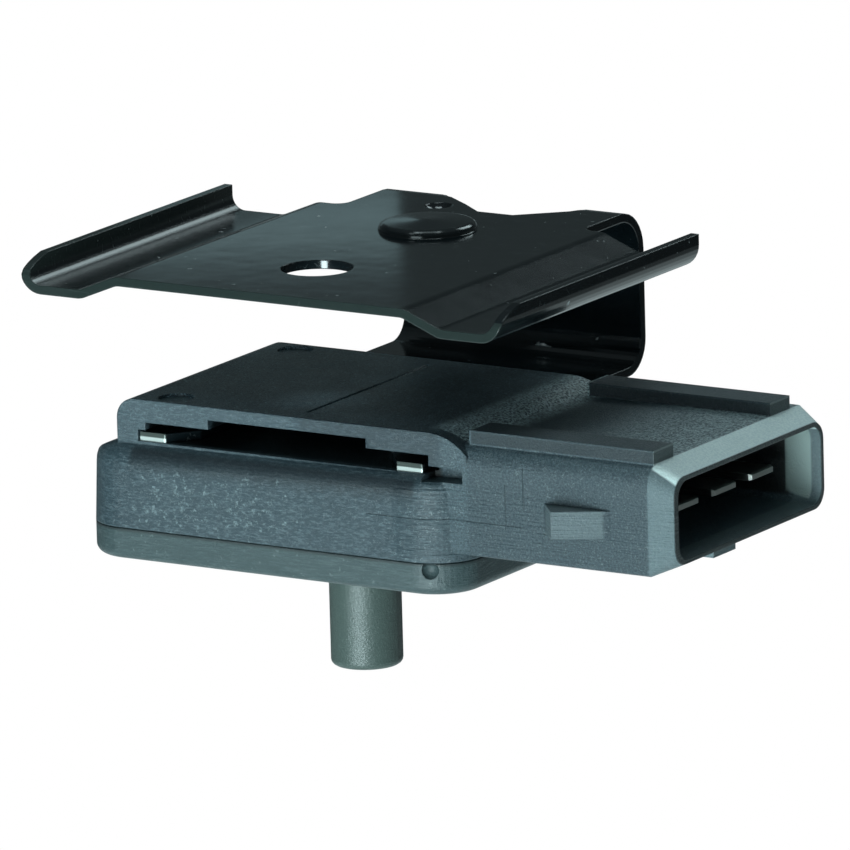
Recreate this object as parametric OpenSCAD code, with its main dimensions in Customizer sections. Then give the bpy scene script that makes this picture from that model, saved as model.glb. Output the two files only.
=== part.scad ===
// Manifold absolute pressure sensor with its spring bracket, in millimetres.
// The origin is on the axis of the hose nipple, at the underside of the bottom cover.
// +X points out of the connector's mouth, +Y towards the bracket's back wall and +Z up.

/* [Pan] */
// Nipple axis to the left face of the pan
pan_left = 19; // [17:0.5:23]
// Nipple axis to the right face of the pan
pan_right = 17.45; // [16.5:0.05:19]
// Nipple axis to the front face of the pan
pan_front = 14; // [13.5:0.1:16]
// Nipple axis to the back face of the pan
pan_back = 13.2; // [12.5:0.1:16]
// Height of the pan's flat top above the cover's underside
pan_top = 9.9; // [9.7:0.1:12]
// Radius of the pan's upright corners
pan_corner_r = 4; // [2.5:0.1:5]
// Rounding of the pan's upper edge at its right end
pan_edge_r = 1.5; // [0.4:0.1:1.8]
// Rounding of the pan's upper edge at its left end
pan_left_edge_r = 2.2; // [1:0.1:2.4]
// Length of the slope that the pan's top falls in towards its left face
pan_slope_len = 5; // [2:0.1:5]
// Height of that slope
pan_slope_h = 2.8; // [1.5:0.1:3]
// Draft of the pan's walls, per side over their height
pan_draft = 0.2; // [0:0.05:0.3]
// Thickness of the pan's side walls
pan_wall = 1.8; // [1.2:0.1:2.2]
// Thickness of the pan's roof, under the bracket slot
pan_roof = 1.3; // [1:0.1:1.5]

/* [Deck] */
// Nipple axis to the left end of the deck
deck_left = 15.65; // [15.2:0.05:16.5]
// Nipple axis to the right end of the deck, where the connector starts
deck_right = 18; // [17.6:0.1:18.4]
// Nipple axis to the front face of the deck and of the connector
deck_front = 12.7; // [12.3:0.1:13.4]
// Nipple axis to the back face of the deck
deck_back = 10.15; // [9:0.05:11.5]
// Thickness of the deck's plate beside the middle of the slot
deck_plate = 1.9; // [1.4:0.1:2.4]
// Thickness of the deck's plate over the middle of the slot
deck_plate_mid = 1.1; // [0.9:0.1:1.3]
// Rounding of the deck's left end
deck_left_r = 1.7; // [0.8:0.1:2]
// Radius of the slope that brings the deck down to the connector
deck_slope_r = 5; // [4:0.1:6]
// Diameter of the ejector marks in the deck
eject_d = 3; // [2:0.1:3.6]
// Depth of the ejector marks
eject_deep = 0.25; // [0.1:0.05:0.4]
// Width of the mould's parting groove across the deck
groove_w = 0.35; // [0.2:0.05:0.6]
// Diameter of the moulding pit at the cover's right front corner
pit_d = 1.5; // [1:0.1:1.8]

/* [Bracket slot in the housing] */
// Height of the slot beside its middle
slot_h = 1.6; // [1.3:0.1:2]
// Nipple axis to the slot's left end
slot_left = 12.9; // [12.6:0.1:13.3]
// Nipple axis to the slot's right end
slot_right = 14.35; // [14:0.05:14.8]
// Nipple axis to the left end of the raised middle of the slot
slot_mid_left = 6.8; // [5.5:0.1:8]
// Nipple axis to the right end of the raised middle of the slot
slot_mid_right = 8.4; // [6.5:0.1:10]
// Height of the pocket that the hook springs into
pocket_h = 0.95; // [0.85:0.05:1.2]
// Depth of the pocket from the front face
pocket_deep = 3.6; // [3.4:0.1:5]
// Length of the relief to the right of the slot, above the pan's corner
relief_len = 3.2; // [2:0.1:3.4]

/* [Connector] */
// Nipple axis to the back face of the connector
conn_back = 12; // [11.5:0.1:13]
// Underside of the connector above the cover's underside
conn_low = 3.45; // [3.2:0.05:3.8]
// Height of the connector without its rails
conn_h = 9.15; // [8.8:0.05:9.6]
// Nipple axis to where the shroud starts to taper
conn_taper_x = 35; // [33:0.5:40]
// Length of the shroud's tapered end
taper_len = 2.3; // [1.5:0.1:3]
// How far the taper draws in at the top and the bottom
taper_in_z = 0.95; // [0.5:0.05:1.1]
// How far the taper draws in at the two sides
taper_in_y = 0.4; // [0.2:0.05:1]
// Rounding of the connector's upper front edge
conn_r = 1.8; // [1:0.1:2.2]
// Rounding of the connector's other long edges
conn_small_r = 0.4; // [0.2:0.1:0.8]
// Rounding of the lip's corners
lip_r = 1.6; // [1:0.1:2.2]
// Wall of the shroud
shroud_wall = 1.35; // [1.1:0.05:1.5]
// Thickness of the lip at the mouth's top, bottom and back
lip_t = 0.35; // [0.25:0.05:0.6]
// Thickness of the lip at the mouth's front
lip_front_t = 0.6; // [0.3:0.05:0.8]
// Length of the flared lead-in behind the lip
lead_in = 3; // [2.5:0.1:5]
// Depth of the shroud from the lip
shroud_deep = 12.8; // [10:0.1:14]

/* [Guide rails and latch ramps] */
// Width of each guide rail
rail_w = 3.1; // [2.4:0.05:3.4]
// Height of the guide rails above the connector's top
rail_h = 1.1; // [0.8:0.1:1.5]
// How far the front rail stands in from the connector's front face
rail_inset = 1.15; // [1:0.05:1.4]
// How far the back rail stands in from the connector's back face
back_rail_inset = 1.8; // [1.6:0.1:2.4]
// Nipple axis to the thick end of the latch ramps
ramp_x = 25.3; // [24:0.1:27]
// Length of the latch ramps
ramp_len = 6.2; // [4:0.1:7]
// Height of the latch ramps
ramp_h = 2.3; // [2:0.1:3]
// Thickness of the latch ramps at their thick end
ramp_t = 2.35; // [1.5:0.05:2.6]
// Width of the key rib under the mouth
key_w = 3.5; // [2.5:0.1:5]
// How far the key rib runs into the taper
key_run = 1.3; // [0.8:0.1:1.4]

/* [Bottom cover and nipple] */
// Height of the bottom cover
cover_h = 2.75; // [2.4:0.05:3]
// Rounding of the cover's lower edge
cover_edge_r = 0.8; // [0.3:0.1:1.2]
// Bevel on the cover's upper edge, the visible seam
seam_bevel = 0.25; // [0.1:0.05:0.4]
// Height of the cover's locating rim inside the pan
rim_h = 1.2; // [0.8:0.1:1.6]
// Thickness of the locating rim
rim_t = 1.2; // [0.8:0.1:1.6]
// Clearance round the locating rim
rim_gap = 0.15; // [0.1:0.05:0.25]
// Outer diameter of the hose nipple
nipple_d = 6; // [5:0.1:7]
// Length of the nipple below the cover
nipple_len = 10.3; // [8:0.1:16]
// Bore of the nipple
nipple_bore = 2.4; // [1.6:0.1:3]
// Rounding of the nipple's tip
nipple_edge_r = 0.5; // [0.2:0.1:0.8]
// Diameter of the boss round the port, inside the cover
boss_d = 9; // [8.8:0.1:10]
// Height of the boss above the cover's inner face
boss_h = 1.6; // [1.2:0.1:2]

/* [Bracket] */
// Thickness of the sheet
sheet_t = 0.75; // [0.65:0.05:0.8]
// Nipple axis to the bracket's middle plane, measured to the left
bracket_shift = 0.6; // [0.3:0.1:0.8]
// The same for the strap, the back wall and the leg
strap_shift = 0.45; // [0.3:0.05:0.6]
// Top of the plate above the cover's underside
plate_top = 23.9; // [21:0.1:28]
// Half of the raised plate's width
plate_half = 13.8; // [13.2:0.1:15]
// Nipple axis to the front edge of the plate
plate_front = 14.25; // [13:0.05:17]
// Nipple axis to the back edge of the side channels
plate_back = 17.3; // [15:0.1:18]
// Depth of the side channels below the plate
joggle_drop = 1.4; // [1:0.1:2]
// Slope of the joggle
joggle_angle = 22; // [20:1:45]
// Bend radius of the joggle, at the sheet's middle
joggle_r = 1.8; // [1:0.1:2]
// Half of the bracket's overall width
flange_half = 23.1; // [21.5:0.1:25]
// Height of the flanges above the channel floor
flange_h = 2.1; // [1.6:0.05:3]
// Bend radius of the flanges, at the sheet's middle
flange_r = 1.6; // [1.2:0.1:1.9]
// Corner cut at the flanges' front ends
flange_cut = 3.4; // [2:0.1:5]
// Half of the strap's width
strap_half = 11.6; // [11:0.1:12.2]
// Nipple axis to the outer face of the back wall
wall_back = 27.3; // [25:0.1:32]
// Bend radius at the back wall's top, at the sheet's middle
wall_r = 3.2; // [2:0.1:3.6]
// Bend radius at the back wall's foot, at the sheet's middle
foot_r = 2.5; // [1.5:0.1:3]
// Width of the relief notch over the upper bend
notch_w = 13.2; // [8:0.1:14]
// Width of the notch at its end in the plate
notch_end_w = 3.4; // [2:0.1:6]
// Nipple axis to the notch's end in the plate
notch_front = 19.75; // [18.5:0.05:21]
// Nipple axis to where the notch reaches its full width
notch_full = 24.2; // [23:0.1:25]
// Depth of the notch below the plate's top, down the back wall
notch_down = 3.5; // [3:0.1:6]
// Diameter of the mounting hole
hole_d = 6; // [5:0.1:7]
// Nipple axis to the mounting hole, towards the front
hole_front = 4.3; // [3:0.1:6]
// How far the hole stands to the left of the bracket's middle plane
hole_side = 0.5; // [0:0.1:1]
// Diameter of the round boss pressed into the plate
dome_d = 8.5; // [6:0.1:9]
// Height of the round boss
dome_h = 0.8; // [0.4:0.05:1]
// Nipple axis to the round boss, towards the back
dome_back = 12.4; // [11:0.1:12.8]

/* [Bracket hooks] */
// Half of the distance over the two hooks
hook_half = 13.6; // [13.4:0.05:13.7]
// Width of each arm of the fork
arm_w = 2.4; // [1.8:0.1:3]
// Nipple axis to the front ends of the hooks
hook_front = 12.5; // [11.2:0.1:12.6]
// How far the fork stands to the right of the strap's middle plane
fork_shift = 0.5; // [0:0.1:0.6]
// Length of the hook's outer flank
hook_len = 1.5; // [1:0.1:2]
// Half of the spring tongue's width
tongue_half = 4; // [2.5:0.1:5]
// Clearance between the spring tongue and the slot's roof
tongue_gap = 0.1; // [0.05:0.05:0.3]

/* [Terminals] */
// Distance between neighbouring terminals
pitch = 6; // [5:0.1:6.3]
// Width of the blades
blade_w = 3.6; // [2.8:0.1:4]
// Thickness of the blades
blade_t = 0.6; // [0.5:0.05:0.8]
// Middle of the blades above the cover's underside
blade_z = 8.15; // [8.05:0.05:8.25]
// How far the blades' tips stay behind the lip
blade_recess = 2.3; // [1:0.1:4]
// Bevel at the blades' tips
blade_tip = 0.3; // [0.2:0.1:0.6]

/* [Circuit and pressure cell] */
// Length of the circuit ceramic
ceramic_l = 28; // [24:0.5:28]
// Width of the circuit ceramic
ceramic_w = 21; // [18:0.5:22]
// Least clearance between the ceramic and the pan's walls
ceramic_gap = 0.6; // [0.3:0.1:1]
// Clearance between the ceramic and the right wall, where the terminals come in
ceramic_end_gap = 3.4; // [3:0.1:4]
// Thickness of the circuit ceramic
ceramic_t = 0.8; // [0.6:0.05:1]
// Thickness of the adhesive under the pan's roof
glue_t = 0.3; // [0.2:0.05:0.4]
// Edge length of the silicon pressure die
die_w = 3; // [2:0.1:3.4]
// Thickness of the die
die_t = 0.4; // [0.3:0.05:0.5]
// Height of the glass pedestal
pedestal_h = 1.2; // [0.8:0.1:1.4]
// Outer diameter of the gel ring
gel_ring_d = 8.6; // [7:0.1:8.8]
// Wall of the gel ring
gel_ring_wall = 0.8; // [0.5:0.1:1]
// Depth of the protective gel
gel_deep = 2.1; // [1.9:0.1:2.2]
// Length of the amplifier chip
chip_l = 6; // [4:0.1:7]
// Width of the amplifier chip
chip_w = 5; // [4:0.1:6]
// Height of the amplifier chip
chip_h = 1.4; // [1:0.1:1.8]
// Length of the ceramic capacitors
capacitor_l = 3.2; // [2:0.1:3.2]
// Width of the ceramic capacitors
capacitor_w = 1.6; // [1.2:0.1:1.6]
// Height of the ceramic capacitors
capacitor_h = 1.3; // [0.8:0.1:1.6]
// Length of the trimmed resistors
resistor_l = 2; // [1.6:0.1:2.4]
// Width of the trimmed resistors
resistor_w = 1.25; // [0.8:0.05:1.6]
// Height of the trimmed resistors
resistor_h = 0.5; // [0.35:0.05:0.6]
// Ceramic's edge to the middle of the outer row of components
row_in = 3.5; // [2.5:0.1:4]
// Ceramic's edge to the middle of the inner row of components
row_deep = 6.9; // [6:0.1:7.5]
// Ceramic's end to the middle of the components beside it
end_in = 5; // [4:0.1:6]

/* [Hidden] */
eps = 0.01;
arc_steps = 8;

// The pan is at least as large as its ceramic needs
pan_x1 = pan_right;
ceramic_x1 = pan_x1 - pan_wall - ceramic_end_gap;
ceramic_x0 = ceramic_x1 - ceramic_l;
ceramic_cy = (pan_back - pan_front) / 2;
ceramic_y0 = ceramic_cy - ceramic_w / 2;
ceramic_y1 = ceramic_cy + ceramic_w / 2;
pan_x0 = min(-pan_left, ceramic_x0 - ceramic_gap - pan_wall);
pan_y0 = min(-pan_front, ceramic_y0 - ceramic_gap - pan_wall);
pan_y1 = max(pan_back, ceramic_y1 + ceramic_gap + pan_wall);
slot_top = pan_top + slot_h;
deck_top = slot_top + deck_plate;
slot_mid_top = deck_top - deck_plate_mid;
roof_z = pan_top - pan_roof;
cave_x0 = pan_x0 + pan_wall;
cave_x1 = pan_x1 - pan_wall;
cave_y0 = pan_y0 + pan_wall;
cave_y1 = pan_y1 - pan_wall;
cave_r = pan_corner_r - pan_wall;

conn_y0 = -deck_front;
conn_y1 = conn_back;
conn_w = conn_y1 - conn_y0;
conn_cy = (conn_y0 + conn_y1) / 2;
conn_cz = conn_low + conn_h / 2;
conn_top = conn_low + conn_h;
lip_x = conn_taper_x + taper_len;
shroud_floor_x = lip_x - shroud_deep;

bracket_x = -bracket_shift;
strap_x = -strap_shift;
fork_x = strap_x + fork_shift;
plate_mid_z = plate_top - sheet_t / 2;
leg_z = pan_top + sheet_t / 2;

ceramic_top = roof_z - glue_t;
ceramic_low = ceramic_top - ceramic_t;
boss_top = cover_h + boss_h;
seal_t = 0.5;
gel_ring_low = boss_top + seal_t;
tip_x = lip_x - blade_recess;
terminal_end_x = ceramic_x1 + 0.8;
link_t = 0.2;

// Points of a rectangle with four rounded corners, centred on [0, 0]
function corner(cx, cy, r, start) =
    [for (i = [0:arc_steps]) let (a = start + 90 * i / arc_steps) [cx + r * cos(a), cy + r * sin(a)]];
function rounded(w, h, r) = concat(
    corner(w / 2 - r, h / 2 - r, r, 0), corner(r - w / 2, h / 2 - r, r, 90),
    corner(r - w / 2, r - h / 2, r, 180), corner(w / 2 - r, r - h / 2, r, 270));
// The same between four limits, with its own radius at the upper left corner
function framed(x0, x1, z0, z1, r, left_r) = concat(
    corner(x1 - r, z1 - r, r, 0), corner(x0 + left_r, z1 - left_r, left_r, 90),
    corner(x0 + r, z0 + r, r, 180), corner(x1 - r, z0 + r, r, 270));

// Centre line of a bent sheet as [x, y, heading], from a list of [straight length, bend, radius]
function bend_points(p, turn, r) = let (side = sign(turn), cx = p[0] - side * r * sin(p[2]),
    cy = p[1] + side * r * cos(p[2]))
    [for (i = [0:arc_steps]) let (h = p[2] + turn * i / arc_steps)
        [cx + side * r * sin(h), cy - side * r * cos(h), h]];
function run(p, len) = [p[0] + len * cos(p[2]), p[1] + len * sin(p[2]), p[2]];
function sheet_line(bends, p, i = 0) = i >= len(bends) ? [p] :
    let (q = run(p, bends[i][0]), arc = bends[i][1] == 0 ? [q] : bend_points(q, bends[i][1], bends[i][2]))
    concat([p], arc, sheet_line(bends, arc[len(arc) - 1], i + 1));
function beside(line, d) = [for (p = line) [p[0] - d * sin(p[2]), p[1] + d * cos(p[2])]];
function backwards(list) = [for (i = [len(list) - 1:-1:0]) list[i]];
function sheet_outline(line, t) = concat(beside(line, t / 2), backwards(beside(line, -t / 2)));

// A profile drawn in X and Z, swept along Y
module sweep_y(y0, y1) {
    translate([0, y1, 0]) rotate([90, 0, 0]) linear_extrude(y1 - y0) children();
}

// A profile drawn in Y and Z, swept along X
module sweep_x(x0, x1) {
    translate([x0, 0, 0]) rotate([90, 0, 90]) linear_extrude(x1 - x0) children();
}

// One upright corner of the pan or of the cover, with its rounded edge
module soft_post(r, h, edge_r, up, draft) {
    tip_r = r - draft;
    mirror([0, 0, up ? 0 : 1]) translate([0, 0, up ? 0 : -h]) {
        cylinder(r1 = r, r2 = tip_r, h = h - edge_r, $fn = 48);
        translate([0, 0, h - edge_r]) rotate_extrude($fn = 48) intersection() {
            square([tip_r, edge_r]);
            union() {
                square([tip_r - edge_r, edge_r]);
                translate([tip_r - edge_r, 0]) circle(r = edge_r, $fn = 32);
            }
        }
    }
}

module pan_block(h, left_r, right_r, up, draft) {
    hull() for (y = [pan_y0 + pan_corner_r, pan_y1 - pan_corner_r]) {
        translate([pan_x0 + pan_corner_r, y, 0]) soft_post(pan_corner_r, h, left_r, up, draft);
        translate([pan_x1 - pan_corner_r, y, 0]) soft_post(pan_corner_r, h, right_r, up, draft);
    }
}

// The pan from the seam up, with its top sloping away at the left
module pan_shell() {
    intersection() {
        translate([0, 0, cover_h]) pan_block(pan_top - cover_h, pan_left_edge_r, pan_edge_r, true, pan_draft);
        sweep_y(pan_y0 - 1, pan_y1 + 1) polygon(concat([[pan_x0, 0]],
            [for (i = [0:arc_steps]) let (a = 90 * i / arc_steps)
                [pan_x0 + pan_slope_len * (1 - cos(a)), pan_top - pan_slope_h * (1 - sin(a))]],
            [[pan_x1 + 1, pan_top], [pan_x1 + 1, 0]]));
    }
}

// A plan outline inside the pan's cavity, drawn in by d from its walls
module cave_outline(d) {
    translate([(cave_x0 + cave_x1) / 2, (cave_y0 + cave_y1) / 2])
        polygon(rounded(cave_x1 - cave_x0 - 2 * d, cave_y1 - cave_y0 - 2 * d, cave_r - d));
}

module deck() {
    slope_x = deck_right - sqrt(pow(deck_slope_r, 2) - pow(deck_slope_r - 1.65, 2));
    slope = [for (i = [0:arc_steps]) let (a = 90 - acos(1 - 1.65 / deck_slope_r) * i / arc_steps)
        [slope_x + deck_slope_r * cos(a), deck_top - deck_slope_r * (1 - sin(a))]];
    left = [for (i = [0:arc_steps]) let (a = 180 - 90 * i / arc_steps)
        [-deck_left + deck_left_r * (1 + cos(a)), deck_top - deck_left_r * (1 - sin(a))]];
    sweep_y(-deck_front, deck_back)
        polygon(concat([[-deck_left, roof_z]], left, slope, [[deck_right, roof_z]]));
}

module bracket_slot() {
    reach = 30;
    translate([-slot_left, -reach, pan_top]) cube([slot_left + slot_right, 2 * reach, slot_h]);
    translate([-slot_mid_left, -reach, pan_top])
        cube([slot_mid_left + slot_mid_right, 2 * reach, slot_mid_top - pan_top]);
    // The pocket at the left end, and the relief above the pan's right front corner
    translate([fork_x - hook_half - 0.1, -deck_front - 1, pan_top])
        cube([hook_half + 1, pocket_deep + 1, pocket_h]);
    translate([slot_right - 1, -deck_front - 1, pan_top])
        cube([relief_len + 1, 2.6, 0.7]);
    translate([slot_right - 0.35, -deck_front - 1.5, pan_top - 0.5])
        cube([relief_len + 0.35, 3.1, 1]);
}

// The connector's outline, drawn in by d_z above and below and by d_y at the sides
module connector_profile(d_z, d_y, r, left_r) {
    polygon(framed(conn_y0 + d_y, conn_y1 - d_y, conn_low + d_z, conn_top - d_z, r, left_r));
}

module connector_body() {
    sweep_x(pan_x1 - 2, conn_taper_x) connector_profile(0, 0, conn_small_r, conn_r);
    hull() {
        sweep_x(conn_taper_x - eps, conn_taper_x) connector_profile(0, 0, conn_small_r, conn_r);
        sweep_x(lip_x - eps, lip_x) connector_profile(taper_in_z, taper_in_y, lip_r, lip_r);
    }
}

module shroud_cavity() {
    cave_r = 1.2;
    sweep_x(shroud_floor_x, lip_x - lead_in + eps)
        connector_profile(shroud_wall, shroud_wall, cave_r, cave_r);
    hull() {
        sweep_x(lip_x - lead_in, lip_x - lead_in + eps)
            connector_profile(shroud_wall, shroud_wall, cave_r, cave_r);
        sweep_x(lip_x, lip_x + eps) polygon(framed(conn_y0 + taper_in_y + lip_front_t,
            conn_y1 - taper_in_y - lip_t, conn_low + taper_in_z + lip_t,
            conn_top - taper_in_z - lip_t, lip_r - 0.2, lip_r - 0.2));
    }
}

module guide_rails() {
    rail_x = deck_right - 0.4;
    for (y = [conn_y0 + rail_inset, conn_y1 - back_rail_inset - rail_w])
        translate([rail_x, y, conn_top - 1]) cube([conn_taper_x - rail_x, rail_w, rail_h + 1]);
}

module latch_ramp() {
    translate([ramp_x, 0, conn_cz - ramp_h / 2 - 0.55]) linear_extrude(ramp_h)
        polygon([[0, 0.5], [0, 0], [0.32 * ramp_len, -ramp_t], [ramp_len, 0], [ramp_len, 0.5]]);
}

module key_rib() {
    translate([conn_taper_x - 1.5, conn_cy - 0.8 - key_w, conn_low])
        cube([1.5 + key_run, key_w, 1]);
}

module terminal_bar(clear) {
    translate([terminal_end_x, -blade_w / 2, blade_z - blade_t / 2])
        cube([tip_x - terminal_end_x - blade_tip + clear, blade_w, blade_t]);
}

module housing() {
    color([0.16, 0.19, 0.2]) difference() {
        union() {
            pan_shell();
            deck();
            connector_body();
            guide_rails();
            key_rib();
            translate([0, conn_y0, 0]) latch_ramp();
            translate([0, conn_y1, 0]) mirror([0, 1, 0]) latch_ramp();
        }
        bracket_slot();
        shroud_cavity();
        translate([0, 0, cover_h - 1]) linear_extrude(roof_z - cover_h + 1) cave_outline(0);
        for (i = [-1:1]) translate([0, conn_cy + i * pitch, 0]) terminal_bar(0);
        for (p = [[-11.4, 8.2], [-11, -10.8]])
            translate([p[0], p[1], deck_top - eject_deep]) cylinder(d = eject_d, h = 1, $fn = 48);
        translate([1.5, -deck_front + 1.9, deck_top - 0.12])
            cube([groove_w, deck_front + deck_back - 4, 1]);
    }
}

module bottom_cover() {
    color([0.17, 0.2, 0.21]) difference() {
        union() {
            intersection() {
                pan_block(cover_h, cover_edge_r, cover_edge_r, false, 0);
                hull() {
                    linear_extrude(cover_h - seam_bevel) translate([(pan_x0 + pan_x1) / 2,
                        (pan_y0 + pan_y1) / 2]) polygon(rounded(pan_x1 - pan_x0 + 1,
                        pan_y1 - pan_y0 + 1, pan_corner_r + 0.5));
                    linear_extrude(cover_h) translate([(pan_x0 + pan_x1) / 2,
                        (pan_y0 + pan_y1) / 2]) polygon(rounded(pan_x1 - pan_x0 - 2 * seam_bevel,
                        pan_y1 - pan_y0 - 2 * seam_bevel, pan_corner_r - seam_bevel));
                }
            }
            translate([0, 0, cover_h - eps]) linear_extrude(rim_h + eps) difference() {
                cave_outline(rim_gap);
                cave_outline(rim_gap + rim_t);
            }
            translate([0, 0, cover_h - 1]) cylinder(d = boss_d, h = boss_h + 1, $fn = 64);
            rotate_extrude($fn = 96) polygon(concat([[0, 1], [0, -nipple_len]],
                [for (i = [0:4]) let (a = 270 + 22.5 * i) [nipple_d / 2 - nipple_edge_r * (1 - cos(a)),
                    -nipple_len + nipple_edge_r * (1 + sin(a))]],
                [[nipple_d / 2, 1]]));
        }
        translate([pan_x1 - 2.5, pan_y0 + 0.15, cover_h - 0.6]) sphere(d = pit_d, $fn = 24);
        translate([0, 0, -nipple_len - 1]) cylinder(d = nipple_bore, h = nipple_len + boss_top + 2, $fn = 64);
    }
}

// The cross-section of plate, joggles, channels and flanges, from the left flange's top to the right's
module channel_section() {
    turn_in = joggle_r * tan(joggle_angle / 2);
    slope = (joggle_drop - 2 * joggle_r * (1 - cos(joggle_angle))) / sin(joggle_angle);
    floor_start = plate_half + 2 * joggle_r * sin(joggle_angle) + slope * cos(joggle_angle) - turn_in;
    floor_len = flange_half - sheet_t / 2 - flange_r - floor_start;
    half = [[plate_half - turn_in, -joggle_angle, joggle_r], [slope, joggle_angle, joggle_r],
            [floor_len, 90, flange_r], [flange_h - flange_r + sheet_t / 2, 0, 0]];
    line = sheet_line(half, [0, plate_mid_z, 0]);
    for (side = [0, 1]) mirror([side, 0]) polygon(sheet_outline(line, sheet_t));
}

// The lengthwise section of strap, back wall and leg
module strap_section() {
    wall_mid = wall_back - sheet_t / 2;
    line = sheet_line([[wall_mid - wall_r, -90, wall_r], [plate_mid_z - leg_z - wall_r - foot_r, -90, foot_r],
        [wall_mid - foot_r, 0, 0]], [0, plate_mid_z, 0]);
    polygon(sheet_outline(line, sheet_t));
}

// The forked front of the leg, seen from above
module fork_outline() {
    root = 2;
    inner = strap_half - arm_w;
    translate([-strap_half, -eps]) square([2 * strap_half, root + eps]);
    for (side = [0, 1]) mirror([side, 0]) polygon([[inner, root], [inner, -hook_front + arm_w],
        [hook_half - 2.4, -hook_front], [hook_half, -hook_front], [hook_half, -hook_front + hook_len],
        [strap_half + 0.3, -hook_front + hook_len + 1.4], [strap_half, -hook_front + hook_len + 1.8],
        [strap_half, root]]);
}

module spring_tongue() {
    rise = slot_mid_top - tongue_gap - pan_top - sheet_t;
    line = sheet_line([[1.5, 28, 1.5], [(rise - 3 * (1 - cos(28))) / sin(28), -28, 1.5], [1, 0, 0]],
        [0, leg_z, 0]);
    translate([strap_x, 0, 0]) mirror([0, 1, 0]) sweep_x(-tongue_half, tongue_half)
        polygon(sheet_outline(line, sheet_t));
}

module round_boss(d, h, inside) {
    shoulder = 0.55;
    rotate_extrude($fn = 64) polygon(concat([[0, inside ? -2 : -0.1]],
        [[d / 2 + (inside ? 0 : 0.15), inside ? -2 : -0.1]], [[d / 2, 0]],
        [for (i = [0:4]) let (a = 22.5 * i)
            [d / 2 - shoulder * (1 - cos(a)) - 0.1, h * 0.75 * sin(a)]],
        [[0, h]]));
}

// The rounded corner between the strap's side and the plate's back edge
module strap_fillet(side) {
    r = 1.2;
    translate([strap_x + side * strap_half, plate_back, plate_top - sheet_t]) linear_extrude(sheet_t)
        difference() {
            translate([side > 0 ? -0.2 : -r, -0.2]) square([r + 0.2, r + 0.2]);
            translate([side * r, r]) circle(r = r, $fn = 48);
        }
}

// What is cut off a flange's front corner, in Y and Z
module flange_corner() {
    z = plate_top - joggle_drop;
    polygon([[-1, z + 0.3], [0, z + 0.3], [0.12, z + 0.75], [0.5, z + 1.15], [1.2, z + 1.5],
        [0.6 * flange_cut, z + 1.8], [flange_cut, z + flange_h + 0.05], [flange_cut, z + 5], [-1, z + 5]]);
}

module bracket() {
    color([0.05, 0.06, 0.06]) difference() {
        union() {
            difference() {
                translate([bracket_x, 0, 0]) sweep_y(-plate_front, plate_back) channel_section();
                for (side = [-1, 1])
                    translate([bracket_x + side * flange_half - 3.6, -plate_front, 0])
                        sweep_x(0, 7.2) flange_corner();
            }
            // The strap with its back wall, notched over the upper bend and kept behind the fork
            difference() {
                translate([strap_x, 0, 0]) sweep_x(-strap_half, strap_half) strap_section();
                translate([1.8 + strap_x, 0, plate_top - notch_down]) linear_extrude(notch_down + 1)
                    polygon([[-notch_end_w / 2, notch_front], [notch_end_w / 2, notch_front],
                        [notch_w / 2 - 1.3, notch_full - 1.2], [notch_w / 2 - 0.6, notch_full],
                        [notch_w / 2 - 0.6, 30], [-notch_w / 2 - 1.4, 30], [-notch_w / 2 - 1.4, notch_full],
                        [-notch_w / 2, notch_full - 0.6], [-notch_w / 4 - 0.8, notch_front + 2]]);
            }
            for (side = [-1, 1]) strap_fillet(side);
            translate([fork_x, 0, pan_top]) linear_extrude(sheet_t) fork_outline();
            spring_tongue();
            translate([bracket_x - 0.1, dome_back, plate_top]) round_boss(dome_d, dome_h, false);
        }
        translate([bracket_x - hole_side, -hole_front, plate_top - 2]) cylinder(d = hole_d, h = 4, $fn = 96);
        // The hollow side of the round boss, and a small locating dimple
        translate([bracket_x - 0.1, dome_back, plate_top - sheet_t]) round_boss(dome_d - 1.2, dome_h, true);
        translate([bracket_x - 3.9, 20.3, plate_top + 0.9]) sphere(r = 1.5, $fn = 32);
    }
}

module terminal(i) {
    color([0.85, 0.85, 0.82]) translate([0, conn_cy + (i - 2) * pitch, 0]) {
        terminal_bar(0);
        hull() {
            translate([tip_x - blade_tip - eps, -blade_w / 2, blade_z - blade_t / 2])
                cube([eps, blade_w, blade_t]);
            translate([tip_x - eps, -blade_w / 2 + blade_tip / 2, blade_z - 0.35 * blade_t])
                cube([eps, blade_w - blade_tip, 0.7 * blade_t]);
        }
    }
}

module circuit_ceramic() {
    color([0.9, 0.9, 0.86]) translate([ceramic_x0, ceramic_y0, ceramic_low])
        cube([ceramic_l, ceramic_w, ceramic_t]);
}

module ceramic_adhesive() {
    bead = 1.4;
    color([0.75, 0.72, 0.66]) translate([ceramic_x0 + 0.5, ceramic_y0 + 0.5, ceramic_top])
        linear_extrude(glue_t) difference() {
            square([ceramic_l - 1, ceramic_w - 1]);
            translate([bead, bead]) square([ceramic_l - 1 - 2 * bead, ceramic_w - 1 - 2 * bead]);
        }
}

module glass_pedestal() {
    color([0.7, 0.85, 0.85]) translate([-die_w / 2, -die_w / 2, ceramic_low - pedestal_h])
        cube([die_w, die_w, pedestal_h]);
}

module sensor_die() {
    color([0.35, 0.36, 0.42]) translate([-die_w / 2, -die_w / 2, ceramic_low - pedestal_h - die_t])
        cube([die_w, die_w, die_t]);
}

module gel_ring() {
    color([0.2, 0.2, 0.2]) translate([0, 0, gel_ring_low]) difference() {
        cylinder(d = gel_ring_d, h = ceramic_low - gel_ring_low, $fn = 64);
        translate([0, 0, -1]) cylinder(d = gel_ring_d - 2 * gel_ring_wall, h = gel_deep + 2, $fn = 64);
    }
}

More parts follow.
